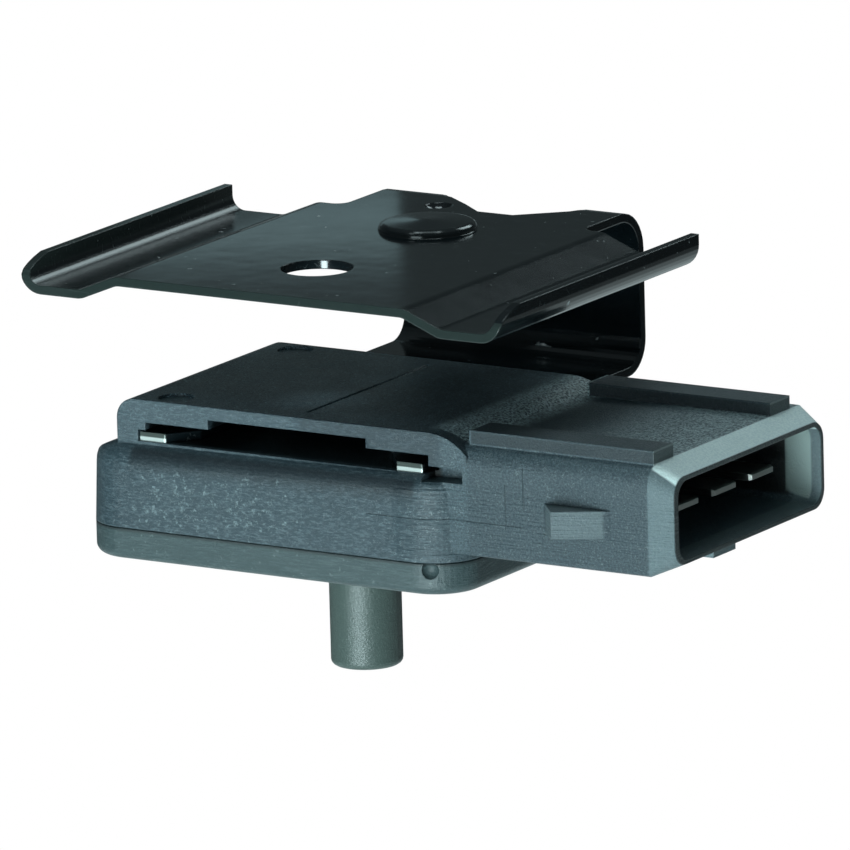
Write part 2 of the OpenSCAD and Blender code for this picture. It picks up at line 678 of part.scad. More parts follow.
module protective_gel() {
    color([0.8, 0.85, 0.9, 0.6]) difference() {
        translate([0, 0, ceramic_low - gel_deep])
            cylinder(d = gel_ring_d - 2 * gel_ring_wall, h = gel_deep, $fn = 64);
        translate([-die_w / 2, -die_w / 2, ceramic_low - pedestal_h - die_t])
            cube([die_w, die_w, pedestal_h + die_t + 1]);
    }
}

module port_seal() {
    color([0.12, 0.12, 0.12]) translate([0, 0, boss_top]) difference() {
        cylinder(d = gel_ring_d, h = seal_t, $fn = 64);
        translate([0, 0, -1]) cylinder(d = 5, h = 3, $fn = 64);
    }
}

module cover_seal() {
    color([0.3, 0.3, 0.28]) translate([0, 0, cover_h + rim_h]) linear_extrude(0.4) difference() {
        cave_outline(0);
        cave_outline(rim_gap + rim_t);
    }
}

// A small component on the underside of the ceramic, at x and y from its left and front edges,
// or from its right and back edges where they are negative
module component(x, y, l, w, h) {
    translate([(x > 0 ? ceramic_x0 : ceramic_x1) + x - l / 2, (y > 0 ? ceramic_y0 : ceramic_y1) + y - w / 2,
        ceramic_low - h]) cube([l, w, h]);
}

module capacitor(x, y) color([0.62, 0.5, 0.36]) component(x, y, capacitor_l, capacitor_w, capacitor_h);
module trim_resistor(x, y) color([0.1, 0.1, 0.1]) component(x, y, resistor_l, resistor_w, resistor_h);
module amplifier_chip() color([0.13, 0.13, 0.14]) component(end_in + 1, -row_deep, chip_l, chip_w, chip_h);

// A bonded strip from the underside of a terminal to the underside of the ceramic
module link(i) {
    low = blade_z - blade_t / 2;
    color([0.8, 0.8, 0.78]) sweep_y(conn_cy + (i - 2) * pitch - 0.7, conn_cy + (i - 2) * pitch + 0.7)
        polygon([[terminal_end_x + 1.8, low], [terminal_end_x + 0.3, low],
            [ceramic_x1 + 0.1, ceramic_low], [ceramic_x1 - 1.8, ceramic_low],
            [ceramic_x1 - 1.8, ceramic_low - link_t], [ceramic_x1 - 0.1, ceramic_low - link_t],
            [terminal_end_x + 0.4, low - link_t], [terminal_end_x + 1.8, low - link_t]]);
}

housing();
bottom_cover();
bracket();
terminal(1);  // terminal_1
terminal(2);  // terminal_2
terminal(3);  // terminal_3
circuit_ceramic();
ceramic_adhesive();
sensor_die();
glass_pedestal();
gel_ring();
protective_gel();
port_seal();
cover_seal();
amplifier_chip();
capacitor(end_in, row_deep);  // capacitor_1
capacitor(end_in, row_in);  // capacitor_2
capacitor(-end_in, -row_in);  // capacitor_3
trim_resistor(2 * end_in, row_in);  // trim_resistor_1
trim_resistor(-end_in, row_in);  // trim_resistor_2
link(1);  // link_1
link(2);  // link_2
link(3);  // link_3
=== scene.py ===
import math

import bmesh
import bpy
from mathutils import Matrix, Vector


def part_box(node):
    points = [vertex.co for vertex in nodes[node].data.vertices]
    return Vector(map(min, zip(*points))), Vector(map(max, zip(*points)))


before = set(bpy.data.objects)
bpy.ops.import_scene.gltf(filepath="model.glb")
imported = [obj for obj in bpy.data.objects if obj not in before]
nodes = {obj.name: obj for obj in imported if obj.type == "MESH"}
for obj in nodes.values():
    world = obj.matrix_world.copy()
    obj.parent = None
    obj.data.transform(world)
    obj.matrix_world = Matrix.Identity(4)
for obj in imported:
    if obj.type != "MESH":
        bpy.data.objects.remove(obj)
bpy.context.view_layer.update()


# Camera and studio. The lens is very long and stands 1.2 m off, round to the front right and a
# little above. White card lies well below the sensor, which hangs free over it. A soft lamp stands
# straight before the sensor's front, a second one high behind it and a weak one overhead.
def camera_axes(azimuth, elevation, roll):
    """Right, up and backward directions of a camera that looks at the sensor."""
    back = Vector((math.sin(azimuth) * math.cos(elevation),
                   -math.cos(azimuth) * math.cos(elevation), math.sin(elevation)))
    level = Vector((math.cos(azimuth), math.sin(azimuth), 0))
    over = back.cross(level)
    right = math.cos(roll) * level + math.sin(roll) * over
    return right, back.cross(right), back


right, up, back = camera_axes(math.radians(31.93), math.radians(13.21), math.radians(-1.55))
camera = bpy.data.objects.new("camera", bpy.data.cameras.new("camera"))
camera.data.sensor_width = 36.0
camera.data.lens = 616.0
camera.data.clip_start = 0.1
camera.data.clip_end = 20.0
turn = Matrix((right, up, back)).transposed().to_4x4()
camera.matrix_world = Matrix.Translation(0.005032 * right + 0.009612 * up + 1.2 * back) @ turn
scene = bpy.context.scene
scene.collection.objects.link(camera)
scene.camera = camera
scene.view_settings.view_transform = "Standard"


def put(tree, kind, wired, **settings):
    """A shader node with its inputs wired to sockets or set to plain values."""
    node = tree.nodes.new("ShaderNode" + kind)
    for name, setting in settings.items():
        setattr(node, name, setting)
    for key, given in wired.items():
        if isinstance(given, bpy.types.NodeSocket):
            tree.links.new(given, node.inputs[key])
        else:
            node.inputs[key].default_value = given
    return node


def reckon(tree, operation, *terms):
    """One step of arithmetic between sockets and numbers."""
    return put(tree, "Math", dict(enumerate(terms)), operation=operation).outputs[0]


def lamp(name, aim, azimuth, elevation, distance, size, power, colour=(0.78, 0.97, 1.0)):
    """A soft rectangular lamp; azimuth 0 is straight before the front, 90 beyond the connector."""
    turned, raised = math.radians(azimuth), math.radians(elevation)
    away = Vector((math.sin(turned) * math.cos(raised), -math.cos(turned) * math.cos(raised),
                   math.sin(raised)))
    light = bpy.data.lights.new(name, "AREA")
    light.shape = "RECTANGLE"
    light.size, light.size_y = size
    light.energy = power
    light.color = colour
    holder = bpy.data.objects.new(name, light)
    holder.matrix_world = (Matrix.Translation(away * distance + Vector(aim))
                           @ away.to_track_quat("Z", "Y").to_matrix().to_4x4())
    holder.visible_camera = False
    scene.collection.objects.link(holder)


lamp("front_lamp", (0.005, 0, 0.008), 4, 8, 0.7, (0.3, 0.34), 1.0)
lamp("strip_lamp", (0.005, 0, 0.004), 8, -12, 0.5, (0.16, 0.2), 2.9)
lamp("back_lamp", (0.005, 0, 0.012), 178, 38, 0.6, (0.2, 0.22), 0.65)
lamp("edge_lamp", (0.005, 0, 0.02), -25, 56, 0.6, (0.1, 0.1), 0.2)
lamp("dome_lamp", (0.005, 0, 0.02), 211.9, 76, 0.6, (0.28, 0.12), 0.7)
lamp("sheet_lamp", (-0.0125, 0.004, 0.0235), 211.9, 12.0, 0.07, (0.024, 0.006), 0.0002, (0.6, 0.93, 1.0))

world = bpy.data.worlds.new("studio")
scene.world = world
world.use_nodes = True
tree = world.node_tree
tree.nodes.clear()
facing = put(tree, "SeparateXYZ", {0: put(tree, "TexCoord", {}).outputs["Generated"]})
room = put(tree, "ValToRGB", {0: put(tree, "MapRange", {
    "Value": facing.outputs["Z"], "From Min": -0.25, "From Max": 1.0}).outputs[0]})
room.color_ramp.elements[0].color = (1, 1, 1, 1)
room.color_ramp.elements[1].color = (0.15, 0.19, 0.2, 1)
for place, shade in ((0.12, 0.9), (0.17, 0.35), (0.24, 0.08), (0.6, 0.06)):
    room.color_ramp.elements.new(place).color = (0.75 * shade, 0.97 * shade, shade, 1)
path = put(tree, "LightPath", {})
ambient = put(tree, "Mix", {"Factor": path.outputs["Is Glossy Ray"], "A": (0.22, 0.22, 0.22, 1),
                            "B": room.outputs[0]}, data_type="RGBA")
ambient_out = [socket for socket in ambient.outputs if socket.type == "RGBA"][0]
for socket in ambient.inputs:
    if socket.type == "RGBA" and socket.name == "A":
        socket.default_value = (0.12, 0.15, 0.16, 1)
    if socket.type == "RGBA" and socket.name == "B":
        tree.links.new(room.outputs[0], socket)
shown = put(tree, "MixShader", {
    0: reckon(tree, "MAXIMUM", path.outputs["Is Camera Ray"], path.outputs["Is Transmission Ray"]),
    1: put(tree, "Background", {"Color": ambient_out}).outputs[0],
    2: put(tree, "Background", {"Color": (1, 1, 1, 1)}).outputs[0]})
put(tree, "OutputWorld", {"Surface": shown.outputs[0]})

floor_mesh = bpy.data.meshes.new("floor")
floor_mesh.from_pydata([(-3, -3, -0.25), (3, -3, -0.25), (3, 3, -0.25), (-3, 3, -0.25)], [], [(0, 1, 2, 3)])
floor = bpy.data.objects.new("floor", floor_mesh)
scene.collection.objects.link(floor)
card = bpy.data.materials.new("white_card")
card.use_nodes = True
tree = card.node_tree
tree.nodes.clear()
path = put(tree, "LightPath", {})
seen = reckon(tree, "MAXIMUM", path.outputs["Is Camera Ray"], reckon(
    tree, "MAXIMUM", path.outputs["Is Glossy Ray"], path.outputs["Is Transmission Ray"]))
along = put(tree, "VectorMath", {0: put(tree, "TexCoord", {}).outputs["Object"]}, operation="LENGTH")
mirrored = put(tree, "MapRange", {"Value": along.outputs["Value"], "From Min": 0.4, "From Max": 1.0,
                                  "To Min": 0.9, "To Max": 0.05})
shine = put(tree, "MixShader", {
    0: path.outputs["Is Glossy Ray"],
    1: put(tree, "Emission", {"Color": (1, 1, 1, 1), "Strength": 1.0}).outputs[0],
    2: put(tree, "Emission", {"Color": (0.8, 0.98, 1.0, 1), "Strength": mirrored.outputs[0]}).outputs[0]})
card_mix = put(tree, "MixShader", {
    0: seen, 1: put(tree, "BsdfDiffuse", {"Color": (0.8, 0.8, 0.8, 1)}).outputs[0],
    2: shine.outputs[0]})
below = put(tree, "MixShader", {0: put(tree, "NewGeometry", {}).outputs["Backfacing"],
                                1: card_mix.outputs[0], 2: put(tree, "BsdfTransparent", {}).outputs[0]})
put(tree, "OutputMaterial", {"Surface": below.outputs[0]})
floor_mesh.materials.append(card)


# Housing. One moulding of black glass-filled plastic: the pan over the circuit, the deck with the
# bracket's slot, and the connector with its rails. Fine pale grain, scuffs on the front, and fine
# lines where the mould's slides met.
def group_of(name, inputs, outputs):
    """An empty shader group with named inputs and outputs, and its two end nodes."""
    group = bpy.data.node_groups.new(name, "ShaderNodeTree")
    for label, kind, given in inputs:
        socket = group.interface.new_socket(label, in_out="INPUT", socket_type="NodeSocket" + kind)
        socket.default_value = given
    for label, kind in outputs:
        group.interface.new_socket(label, in_out="OUTPUT", socket_type="NodeSocket" + kind)
    return group, group.nodes.new("NodeGroupInput").outputs, group.nodes.new("NodeGroupOutput").inputs


def placed(tree, group, wired):
    """A shader group set into a material, with this material's values."""
    node = tree.nodes.new("ShaderNodeGroup")
    node.node_tree = group
    for key, given in wired.items():
        if isinstance(given, bpy.types.NodeSocket):
            tree.links.new(given, node.inputs[key])
        else:
            node.inputs[key].default_value = given
    return node.outputs


def eased(tree, value, low, high):
    """0 below low and 1 above high, with a soft run between them."""
    return put(tree, "MapRange", {"Value": value, "From Min": low, "From Max": high},
               interpolation_type="SMOOTHSTEP").outputs[0]


def blended(tree, factor, first, second):
    """A colour between two colours, or between colour sockets."""
    node = tree.nodes.new("ShaderNodeMix")
    node.data_type = "RGBA"
    for index, given in ((0, factor), (6, first), (7, second)):
        if isinstance(given, bpy.types.NodeSocket):
            tree.links.new(given, node.inputs[index])
        else:
            node.inputs[index].default_value = given if index == 0 else (*given, 1)
    return node.outputs[2]


def inside(tree, axes, limits, soft=0.05):
    """A mask for a box on the sensor, from (axis, low, high) in millimetres."""
    mask = 1.0
    for axis, low, high in limits:
        if low is not None:
            mask = reckon(tree, "MULTIPLY", mask, eased(tree, axes[axis], low - soft, low + soft))
        if high is not None:
            mask = reckon(tree, "MULTIPLY", mask, eased(tree, axes[axis], high + soft, high - soft))
    return mask


# Fine grain of a moulded or coated skin: a height, pale specks and slow clouds of tone
skin, given, result = group_of("moulded_skin", [
    ("Place", "Vector", (0, 0, 0)), ("Grain", "Float", 5.0), ("Speck Scale", "Float", 2.6),
    ("Speck Share", "Float", 0.3), ("Speck Size", "Float", 0.2), ("Detail", "Float", 5.0)],
    [("Height", "Float"), ("Specks", "Float"), ("Clouds", "Float")])
fine = put(skin, "TexNoise", {"Vector": given["Place"], "Scale": given["Grain"],
                              "Detail": given["Detail"], "Roughness": 0.65})
skin.links.new(fine.outputs[0], result["Height"])
bent = put(skin, "TexNoise", {"Vector": given["Place"], "Scale": 2.0, "Detail": 3.0})
swayed = put(skin, "VectorMath", {0: bent.outputs["Color"], 1: given["Place"]}, operation="ADD")
cells = put(skin, "TexVoronoi", {"Vector": swayed.outputs[0], "Scale": given["Speck Scale"]})
tint = put(skin, "SeparateColor", {0: cells.outputs["Color"]})
picked = reckon(skin, "LESS_THAN", tint.outputs[0], given["Speck Share"])
reach = reckon(skin, "MULTIPLY", given["Speck Size"], reckon(skin, "ADD", 0.35, tint.outputs[1]))
near = put(skin, "MapRange", {"Value": cells.outputs["Distance"], "From Min": reach,
                              "From Max": reckon(skin, "MULTIPLY", reach, 0.4),
                              "To Min": 0.0, "To Max": 1.0})
skin.links.new(reckon(skin, "MULTIPLY", picked, near.outputs[0]), result["Specks"])
slow = put(skin, "TexNoise", {"Vector": given["Place"], "Scale": 0.35, "Detail": 4.0, "Roughness": 0.6})
skin.links.new(slow.outputs[0], result["Clouds"])

# Thin scratches that run along X of the place given
scratches, given, result = group_of("scratches", [
    ("Place", "Vector", (0, 0, 0)), ("Width", "Float", 0.02), ("Scale", "Float", 0.8)],
    [("Mask", "Float")])
drift = put(scratches, "TexNoise", {"Vector": given["Place"], "Scale": given["Scale"], "Detail": 2.0})
line = reckon(scratches, "ABSOLUTE", reckon(scratches, "SUBTRACT", drift.outputs[0], 0.5))
thin = put(scratches, "MapRange", {"Value": line, "From Min": given["Width"], "From Max": 0.0})
broken = put(scratches, "TexNoise", {"Vector": given["Place"], "Scale": 2.3, "Detail": 3.0})
scratches.links.new(reckon(scratches, "MULTIPLY", thin.outputs[0],
                           eased(scratches, broken.outputs[0], 0.5, 0.62)), result["Mask"])

# A worn patch round a centre, ragged at its edge
patch, given, result = group_of("worn_patch", [
    ("Place", "Vector", (0, 0, 0)), ("Centre", "Vector", (0, 0, 0)), ("Half Size", "Vector", (1, 1, 1)),
    ("Ragged", "Float", 0.6), ("Scale", "Float", 1.5)], [("Mask", "Float")])
offset = put(patch, "VectorMath", {0: given["Place"], 1: given["Centre"]}, operation="SUBTRACT")
shared = put(patch, "VectorMath", {0: offset.outputs[0], 1: given["Half Size"]}, operation="DIVIDE")
far = put(patch, "VectorMath", {0: shared.outputs[0]}, operation="LENGTH")
rag = put(patch, "TexNoise", {"Vector": given["Place"], "Scale": given["Scale"], "Detail": 4.0})
edge = reckon(patch, "ADD", far.outputs["Value"], reckon(
    patch, "MULTIPLY", reckon(patch, "SUBTRACT", rag.outputs[0], 0.5), reckon(
        patch, "MULTIPLY", given["Ragged"], 4.0)))
patch.links.new(eased(patch, edge, 1.0, 0.6), result["Mask"])


def started(name):
    """A new material, its tree, the place on the sensor in millimetres and that place's axes."""
    material = bpy.data.materials.new(name)
    material.use_nodes = True
    tree = material.node_tree
    where = put(tree, "VectorMath", {0: put(tree, "TexCoord", {}).outputs["Object"]}, operation="SCALE")
    where.inputs["Scale"].default_value = 1000.0
    axes = put(tree, "SeparateXYZ", {0: where.outputs[0]}).outputs
    return material, tree, where.outputs[0], axes, tree.nodes["Principled BSDF"]


def bumped(tree, shader, height, distance, edge_radius):
    """Bump in millimetres over a normal that is softened along the sharp edges."""
    soft = put(tree, "Bevel", {"Radius": edge_radius * 0.001}, samples=6)
    bump = put(tree, "Bump", {"Height": height, "Strength": 1.0, "Distance": distance * 0.001,
                              "Normal": soft.outputs[0]})
    tree.links.new(bump.outputs[0], shader.inputs["Normal"])


def dress(material, *names):
    """Gives a material to CAD nodes."""
    for name in names:
        mesh = nodes[name].data
        mesh.materials.clear()
        mesh.materials.append(material)


housing_plastic, tree, place, axes, shader = started("housing_plastic")
grain = placed(tree, skin, {"Place": place, "Grain": 5.2, "Speck Scale": 2.6, "Speck Share": 0.4,
                            "Speck Size": 0.26})
flecks = placed(tree, skin, {"Place": place, "Grain": 8.0, "Speck Scale": 6.0, "Speck Share": 0.45,
                             "Speck Size": 0.4})
streaks = put(tree, "TexNoise", {"Vector": put(tree, "Mapping", {
    "Vector": place, "Scale": (1.1, 1.1, 4.2)}).outputs[0], "Scale": 1.6, "Detail": 4.0, "Roughness": 0.7}).outputs[0]
grainy = eased(tree, axes["X"], 14.5, 17.6)
rough_side = reckon(tree, "ADD", 0.35, reckon(tree, "MULTIPLY", 0.65, eased(tree, axes["X"], 6.0, 17.0)))
body = blended(tree, grain["Clouds"], (0.017, 0.031, 0.040), (0.033, 0.055, 0.067))
skin_tone = reckon(tree, "ADD", reckon(tree, "MULTIPLY", grainy, eased(tree, grain["Height"], 0.32, 0.86)),
                   reckon(tree, "MULTIPLY", reckon(tree, "SUBTRACT", 1.0, grainy), reckon(
                       tree, "MULTIPLY", eased(tree, streaks, 0.44, 0.7), 0.5)))
body = blended(tree, skin_tone, body, (0.12, 0.165, 0.185))
body = blended(tree, reckon(tree, "MULTIPLY", grain["Specks"], 0.16), body, (0.26, 0.31, 0.32))
body = blended(tree, reckon(tree, "MULTIPLY", flecks["Specks"], reckon(
    tree, "MULTIPLY", rough_side, 0.5)), body, (0.26, 0.31, 0.32))
front = inside(tree, axes, [("Y", None, -13.5)], 0.2)
scuffed = reckon(tree, "MULTIPLY", front, reckon(
    tree, "MAXIMUM",
    placed(tree, patch, {"Place": place, "Centre": (-9.6, -14, 5.4), "Half Size": (3.2, 4, 2.6),
                         "Ragged": 1.4, "Scale": 1.1})["Mask"],
    placed(tree, patch, {"Place": place, "Centre": (-3.0, -14, 6.0), "Half Size": (3.4, 4, 2.2),
                         "Ragged": 1.5, "Scale": 1.3})["Mask"]))
rubbed = put(tree, "TexNoise", {"Vector": place, "Scale": 3.2, "Detail": 5.0, "Roughness": 0.7})
body = blended(tree, reckon(tree, "MULTIPLY", scuffed, reckon(
    tree, "MULTIPLY", eased(tree, rubbed.outputs[0], 0.5, 0.72), 0.6)),
               body, (0.30, 0.38, 0.39))
# Painted highlight: the tapered collar before the lip is painted paler, and its top face near white, for the light
# that falls on them.
painted_collar_highlight = inside(tree, axes, [("X", 35.0, 37.22)], 0.06)
painted_collar_top_highlight = inside(tree, axes, [("X", 35.0, 37.22), ("Y", -11.9, None), ("Z", 11.0, None)], 0.1)
body = blended(tree, reckon(tree, "MULTIPLY", painted_collar_highlight, 0.6), body, (0.15, 0.2, 0.21))
body = blended(tree, reckon(tree, "MULTIPLY", painted_collar_top_highlight, 0.95), body, (0.78, 0.92, 0.9))
# Painted shade: the rails on the connector are painted darker, and their sides darker still, for the shade under and
# beside them.
rail_painted_shade = inside(tree, axes, [("Z", 12.62, None), ("X", 17.8, None)], 0.04)
body = blended(tree, reckon(tree, "MULTIPLY", rail_painted_shade, 0.45), body, (0.012, 0.02, 0.024))
rail_side_painted_shade = inside(tree, axes, [("Z", 12.62, 13.55), ("X", 17.8, None)], 0.04)
body = blended(tree, reckon(tree, "MULTIPLY", rail_side_painted_shade, 0.6), body, (0.008, 0.014, 0.018))
# Painted light: the top faces of the deck and connector are painted paler in their grain, more so towards the collar,
# for the light that falls on them away from the bracket.
painted_light_top_mask = inside(tree, axes, [("Y", -11.2, None), ("Z", 11.2, None)], 0.1)
painted_light_top_mask = reckon(tree, "MULTIPLY", painted_light_top_mask, reckon(tree, "SUBTRACT", 1.0, rail_painted_shade))
painted_light_spread = reckon(tree, "ADD", inside(tree, axes, [("X", 14.0, 18.6)], 0.8), reckon(
    tree, "MULTIPLY", eased(tree, axes["X"], 22.0, 35.0), 0.8))
body = blended(tree, reckon(tree, "MULTIPLY", reckon(tree, "MULTIPLY", painted_light_top_mask, painted_light_spread), reckon(
    tree, "MULTIPLY", eased(tree, grain["Height"], 0.4, 0.62), 0.95)), body, (0.55, 0.7, 0.72))
# Painted light: the deck's front face is painted paler at its left end, with a few flecks, against the painted shade
# to its right.
deck_front_painted_light = inside(tree, axes, [("X", None, 1.0), ("Y", None, -12.3), ("Z", 9.8, 13.6)], 0.2)
body = blended(tree, reckon(tree, "MULTIPLY", deck_front_painted_light, reckon(
    tree, "ADD", 0.15, reckon(tree, "MULTIPLY", flecks["Specks"], 0.4))), body, (0.12, 0.16, 0.18))
shade = reckon(tree, "MAXIMUM", inside(tree, axes, [("X", 2.0, 15.5), ("Y", None, -12.3), ("Z", 9.8, 13.6)], 0.4),
               reckon(tree, "MULTIPLY", inside(tree, axes, [("X", 18.0, 34.9), ("Y", None, -12.3)], 0.3), 0.7))
body = blended(tree, reckon(tree, "MULTIPLY", shade, 0.4), body, (0.012, 0.018, 0.024))
# Painted shade: the top of the pan's front below the slot is painted near black, darkest at the top, for the shade
# under the deck.
pan_top_painted_shade = inside(tree, axes, [("X", -14.0, 13.5), ("Y", None, -11.0), ("Z", None, 9.5)], 0.3)
pan_top_painted_shade = reckon(tree, "MULTIPLY", pan_top_painted_shade, eased(tree, axes["Z"], 7.0, 9.2))
body = blended(tree, reckon(tree, "MULTIPLY", pan_top_painted_shade, 0.8), body, (0.006, 0.009, 0.012))
# Pale flecks on the top faces: the fleck pattern of the glass fill, painted brighter to stand for sparkle of light.
top_flecks_and_painted_sparkle = inside(tree, axes, [("X", -15.5, 15.5), ("Y", -12.5, None), ("Z", 12.2, None)], 0.2)
body = blended(tree, reckon(tree, "MULTIPLY", top_flecks_and_painted_sparkle, reckon(
    tree, "ADD", reckon(tree, "MULTIPLY", eased(tree, flecks["Height"], 0.5, 0.66), 0.4),
    reckon(tree, "MULTIPLY", flecks["Specks"], 0.6))), body, (0.42, 0.6, 0.7))
# Painted shade: the inner walls of the connector's mouth are painted dark.
mouth_painted_shade = inside(tree, axes, [("X", 23.0, 34.6), ("Y", -11.7, 11.0), ("Z", 5.3, 11.6)], 0.15)
# Painted shade: the inside of the bracket's slot is painted near black.
slot_painted_shade = inside(tree, axes, [("X", -14.3, 14.6), ("Y", -12.1, 13.5), ("Z", 9.2, 12.0)], 0.25)
body = blended(tree, reckon(tree, "MULTIPLY", slot_painted_shade, 0.93), body, (0.002, 0.003, 0.003))
body = blended(tree, mouth_painted_shade, body, (0.012, 0.015, 0.016))
lip = inside(tree, axes, [("X", 37.24, None)], 0.03)
body = blended(tree, reckon(tree, "MULTIPLY", lip, 0.9), body, (0.03, 0.04, 0.04))
# Painted light: the latch ramp's slanted front face is painted paler for the light it catches.
ramp_painted_light = inside(tree, axes, [("X", 18.0, 34.0), ("Y", None, -13.0)], 0.08)
body = blended(tree, reckon(tree, "MULTIPLY", ramp_painted_light, 0.35), body, (0.22, 0.27, 0.28))
# Painted light: a patch of the far inner wall at the connector's mouth is painted pale, where light reaches into it.
body = blended(tree, inside(tree, axes, [("X", 34.2, 36.4), ("Y", 10.6, 12.0), ("Z", 4.6, 11.2)], 0.1), body,
               (0.3, 0.38, 0.36))
lines = reckon(tree, "MAXIMUM", reckon(
    tree, "MAXIMUM",
    inside(tree, axes, [("X", 21.56, 21.64), ("Y", None, -12.6), ("Z", 6.0, 9.8)], 0.03),
    inside(tree, axes, [("X", 23.27, 23.33), ("Y", None, -12.6), ("Z", 7.9, 12.0)], 0.03)),
    inside(tree, axes, [("X", 9.0, 23.3), ("Y", None, -11.0), ("Z", 6.36, 6.42)], 0.03))
body = blended(tree, reckon(tree, "MULTIPLY", lines, 0.35), body, (0.01, 0.012, 0.013))
tree.links.new(body, shader.inputs["Base Color"])
gloss = reckon(tree, "ADD", 0.26, reckon(tree, "MULTIPLY", grain["Clouds"], 0.16))
tree.links.new(gloss, shader.inputs["Roughness"])
corner = inside(tree, axes, [("X", 12.0, None), ("Y", None, -9.5), ("Z", 3.0, 9.2)], 0.6)
rolled = put(tree, "TexNoise", {"Vector": put(tree, "Mapping", {
    "Vector": place, "Scale": (0.25, 0.25, 5.0)}).outputs[0], "Scale": 1.0, "Detail": 3.0})
height = reckon(tree, "ADD", reckon(tree, "MULTIPLY", grain["Height"], reckon(
    tree, "ADD", 0.5, reckon(tree, "MULTIPLY", grainy, 0.7))), reckon(tree, "MULTIPLY", streaks, 0.5))
height = reckon(tree, "ADD", height, reckon(
    tree, "MULTIPLY", reckon(tree, "MULTIPLY", corner, rolled.outputs[0]), 1.6))
height = reckon(tree, "SUBTRACT", height, reckon(tree, "MULTIPLY", lines, 0.5))
bumped(tree, shader, height, 0.1, 0.18)
dress(housing_plastic, "housing")


# Bottom cover. The same plastic, in a finer skin: a flat lid welded to the pan along the seam,
# with the hose nipple in one piece with it.
cover_plastic, tree, place, axes, shader = started("cover_plastic")
grain = placed(tree, skin, {"Place": place, "Grain": 5.0, "Speck Scale": 2.2, "Speck Share": 0.25,
                            "Speck Size": 0.3})
body = blended(tree, grain["Clouds"], (0.027, 0.045, 0.048), (0.045, 0.070, 0.073))
body = blended(tree, reckon(tree, "MULTIPLY", grain["Specks"], 0.35), body, (0.22, 0.27, 0.27))
streaks = put(tree, "TexNoise", {"Vector": put(tree, "Mapping", {
    "Vector": place, "Scale": (0.6, 0.6, 5.0)}).outputs[0], "Scale": 1.6, "Detail": 4.0, "Roughness": 0.7}).outputs[0]
body = blended(tree, reckon(tree, "MULTIPLY", eased(tree, streaks, 0.42, 0.75), 0.4), body,
               (0.11, 0.15, 0.155))
seam = inside(tree, axes, [("Z", 2.45, 2.9)], 0.1)
nipple = inside(tree, axes, [("Z", None, -0.2)], 0.1)
body = blended(tree, reckon(tree, "MULTIPLY", seam, 0.6), body, (0.012, 0.014, 0.015))
body = blended(tree, reckon(tree, "MULTIPLY", nipple, 0.6), body, (0.07, 0.095, 0.08))
tree.links.new(body, shader.inputs["Base Color"])
tree.links.new(reckon(tree, "SUBTRACT", 0.36, reckon(tree, "MULTIPLY", nipple, 0.02)),
               shader.inputs["Roughness"])
bumped(tree, shader, reckon(tree, "ADD", grain["Height"], reckon(tree, "MULTIPLY", streaks, reckon(
    tree, "SUBTRACT", 0.8, reckon(tree, "MULTIPLY", nipple, 0.7)))), 0.05, 0.16)
dress(cover_plastic, "bottom_cover")


# Bracket. Spring steel sheet, 0.75 mm, blanked and bent, dipped in a thin glossy black coat. The
# coat is rubbed through to bright metal on the ends of the hooks, and carries a little white dust.
coated_steel, tree, place, axes, shader = started("coated_steel")
coat = placed(tree, skin, {"Place": place, "Grain": 0.35, "Speck Scale": 0.36, "Speck Share": 0.5,
                           "Speck Size": 0.07, "Detail": 1.0})
powder = placed(tree, skin, {"Place": place, "Grain": 7.0, "Speck Scale": 1.1, "Speck Share": 0.22,
                             "Speck Size": 0.12, "Detail": 2.0})
scratch = placed(tree, scratches, {"Place": put(tree, "Mapping", {
    "Vector": place, "Rotation": (0, 0, 0.5), "Scale": (0.2, 1.6, 1.0)}).outputs[0],
    "Width": 0.012, "Scale": 0.5})["Mask"]
body = blended(tree, coat["Clouds"], (0.002, 0.004, 0.005), (0.006, 0.010, 0.012))
bare = inside(tree, axes, [("Y", None, -12.42), ("Z", None, 12.0)], 0.03)
glint = inside(tree, axes, [("Y", 26.0, None)], 0.1)
glint = reckon(tree, "MULTIPLY", glint, placed(tree, patch, {
    "Place": put(tree, "Mapping", {"Vector": place, "Location": (3.05, 0, 10.66),
                                   "Rotation": (0, 0.34, 0)}, vector_type="TEXTURE").outputs[0],
    "Centre": (0, 26.5, 0), "Half Size": (2.3, 3.0, 0.6), "Ragged": 0.15, "Scale": 2.6})["Mask"])
near_part = inside(tree, axes, [("Y", None, 23.0)], 0.5)
scratch = reckon(tree, "MULTIPLY", scratch, near_part)
dust = reckon(tree, "MAXIMUM", reckon(tree, "MULTIPLY", coat["Specks"], near_part), reckon(tree, "MULTIPLY", powder["Specks"], 0.35))
body = blended(tree, reckon(tree, "MULTIPLY", scratch, 0.12), body, (0.3, 0.33, 0.33))
worn = bare
cut = reckon(tree, "MULTIPLY", bare, eased(tree, axes["Z"], 10.32, 10.2))
rim = reckon(tree, "MAXIMUM", inside(tree, axes, [("Y", None, -13.9), ("Z", 15.0, None)], 0.05),
             inside(tree, axes, [("X", None, -22.9), ("Z", 15.0, None)], 0.05))
body = blended(tree, reckon(tree, "MULTIPLY", rim, 0.6), body, (0.03, 0.042, 0.038))
body = blended(tree, worn, body, (0.10, 0.12, 0.11))
body = blended(tree, cut, body, (0.75, 0.82, 0.78))
body = blended(tree, reckon(tree, "MAXIMUM", reckon(tree, "MULTIPLY", dust, 0.85), reckon(
    tree, "MULTIPLY", glint, 0.95)), body, (0.7, 0.76, 0.76))
tree.links.new(body, shader.inputs["Base Color"])
tree.links.new(reckon(tree, "MULTIPLY", worn, 0.4), shader.inputs["Metallic"])
rough = reckon(tree, "ADD", 0.11, reckon(tree, "MULTIPLY", coat["Clouds"], 0.06))
rough = reckon(tree, "ADD", rough, reckon(tree, "MULTIPLY", eased(tree, axes["X"], -17.0, -20.5), 0.12))
